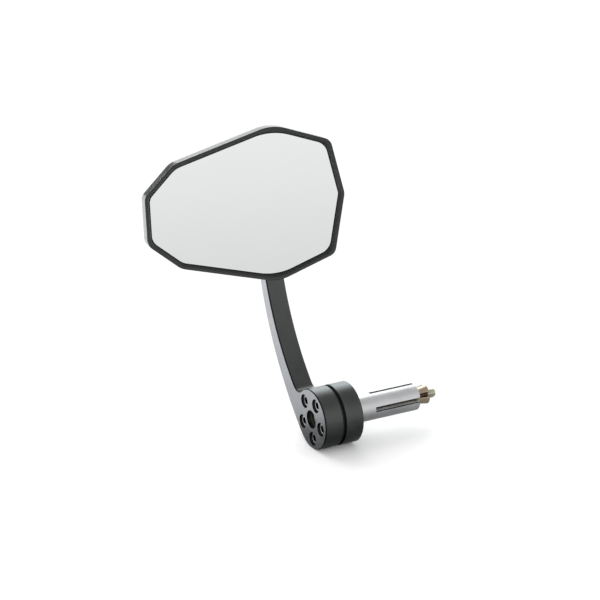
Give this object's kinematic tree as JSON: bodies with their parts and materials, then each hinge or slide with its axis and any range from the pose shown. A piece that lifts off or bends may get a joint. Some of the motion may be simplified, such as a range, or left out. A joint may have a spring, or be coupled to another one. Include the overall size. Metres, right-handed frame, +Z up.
{
  "type": "motorcycle bar end mirror",
  "caption": "Bar end mirror with an angular glass on a ball joint, a curved flat arm, clamp discs and an expanding sleeve that grips inside a tubular handlebar.",
  "frame": {"origin": "on the bar's axis, in the plane where the end of the bar meets the rear clamp disc", "axes": "+X along the bar towards the middle of the machine, +Y forward and away from the rider, +Z up"},
  "size_m": [0.1618, 0.0988, 0.1848],
  "materials": {
    "black_anodised": "black anodised, fine satin grain",
    "bare_aluminium": "bright machined",
    "zinc_steel": "zinc plated, satin",
    "yellow_zinc": "yellow zinc plated",
    "screw_steel": "satin stainless",
    "black_spacer": "matt black",
    "nylon": "matt natural",
    "foam_pad": "matt black",
    "mirror_glass": "silvered flat glass"
  },
  "bodies": {
    "bar_mount": {"expander_sleeve": "bare_aluminium"},
    "arm": {"mirror_arm": "black_anodised", "spacer_disc": "black_spacer", "rear_disc": "black_anodised", "clamp_screws": "screw_steel"},
    "bolt": {"expander_bolt": "zinc_steel"},
    "nut": {"cone_nut": "yellow_zinc"},
    "stud": {"ball_stud": "screw_steel", "stud_washer": "screw_steel", "stud_nut": "screw_steel"},
    "liner": {"liner_front": "nylon", "liner_rear": "nylon"},
    "head": {"mirror_housing": "black_anodised", "mirror_glass": "mirror_glass", "glass_pad": "foam_pad", "socket_ring": "black_anodised", "ring_screws": "screw_steel"}
  },
  "joints": [
    {"name": "arm_swing", "type": "hinge", "parent": "bar_mount", "child": "arm", "pos_m": [0, 0, 0], "axis": [1, 0, 0], "continuous": true},
    {"name": "bolt_turn", "type": "hinge", "parent": "bar_mount", "child": "bolt", "pos_m": [0, 0, 0], "axis": [1, 0, 0], "range_deg": [0, 1800]},
    {"name": "nut_slide", "type": "slide", "parent": "bar_mount", "child": "nut", "axis": [-1, 0, 0], "range_m": [0, 0.005]},
    {"name": "head_roll", "type": "hinge", "parent": "arm", "child": "stud", "pos_m": [-0.0192, 0.0529, 0.115], "axis": [0, -1, 0], "range_deg": [-15, 15]},
    {"name": "head_pan", "type": "hinge", "parent": "stud", "child": "liner", "pos_m": [-0.0192, 0.0529, 0.115], "axis": [0, 0, 1], "range_deg": [-5, 25]},
    {"name": "head_tilt", "type": "hinge", "parent": "liner", "child": "head", "pos_m": [-0.0192, 0.0529, 0.115], "axis": [0.9724, -0.2334, 0], "range_deg": [-5, 20]}
  ],
  "couplings": [
    {"joint": "bolt_turn", "follows": "nut_slide", "rad_per_m": 6283}
  ]
}
